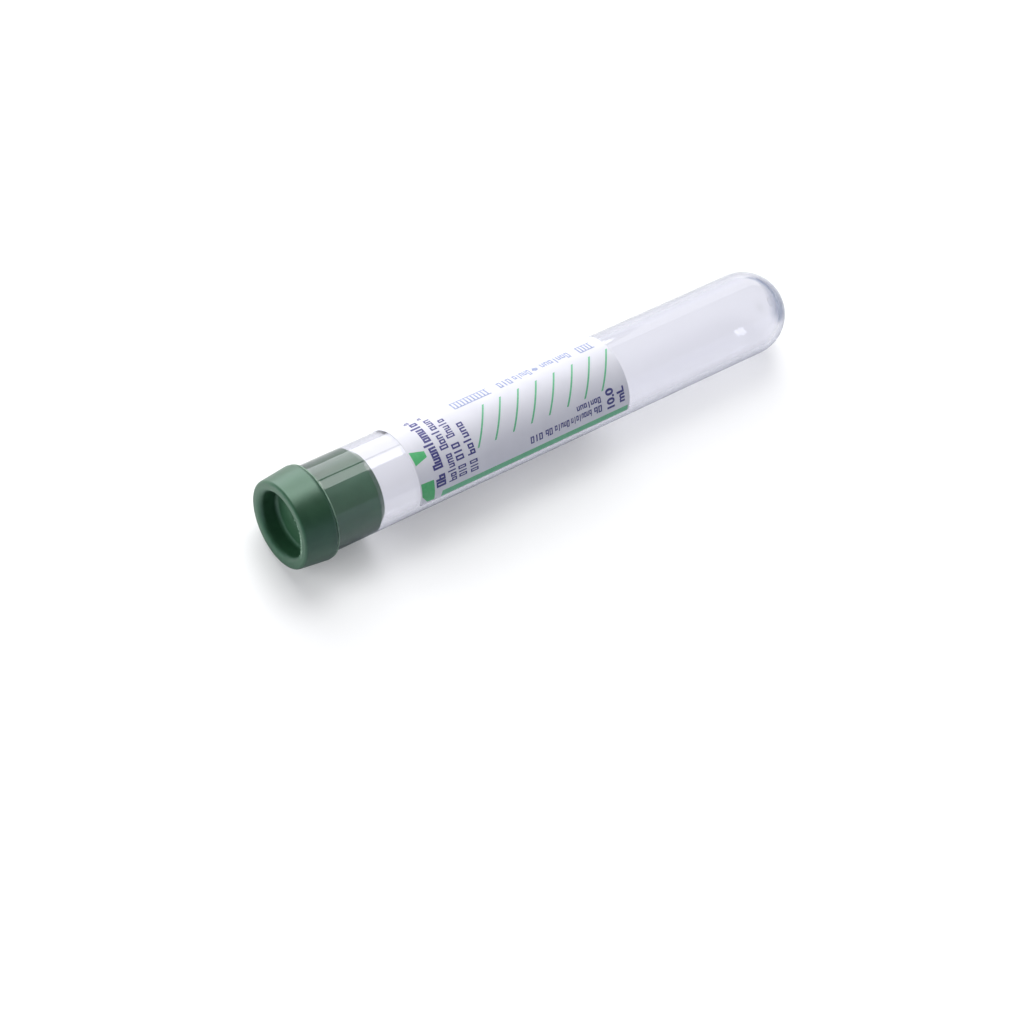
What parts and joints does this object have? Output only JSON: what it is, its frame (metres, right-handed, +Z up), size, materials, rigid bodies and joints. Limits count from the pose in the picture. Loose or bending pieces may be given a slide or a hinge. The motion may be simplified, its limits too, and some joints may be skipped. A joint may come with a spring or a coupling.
{
  "type": "blood collection tube",
  "caption": "Clear plastic tube with a round end, a green rubber stopper that plugs its mouth, and a printed paper label stuck round one side of it.",
  "frame": {"origin": "on the table that the tube lies on, below the middle of its length", "axes": "+X along the tube from its stopper to its round end, +Z up. The tube lies on the shoulder of its stopper and on its round end, so its own axis falls 0.66 degrees towards +X."},
  "size_m": [0.1066, 0.0172, 0.0171],
  "materials": {
    "clear_plastic": "clear moulded plastic, smooth and glossy, with a faint blue tint in its edges",
    "green_rubber": "moulded synthetic rubber, satin, with a faint bloom on its edges",
    "label_paper": "smooth white paper with green and indigo print"
  },
  "bodies": {
    "tube": {"tube": "clear_plastic", "label": "label_paper"},
    "stopper": {"stopper": "green_rubber"}
  },
  "joints": [
    {"name": "stopper_pull", "type": "slide", "parent": "tube", "child": "stopper", "axis": [-0.9999, 0, 0.0115], "range_m": [0, 0.025]}
  ]
}
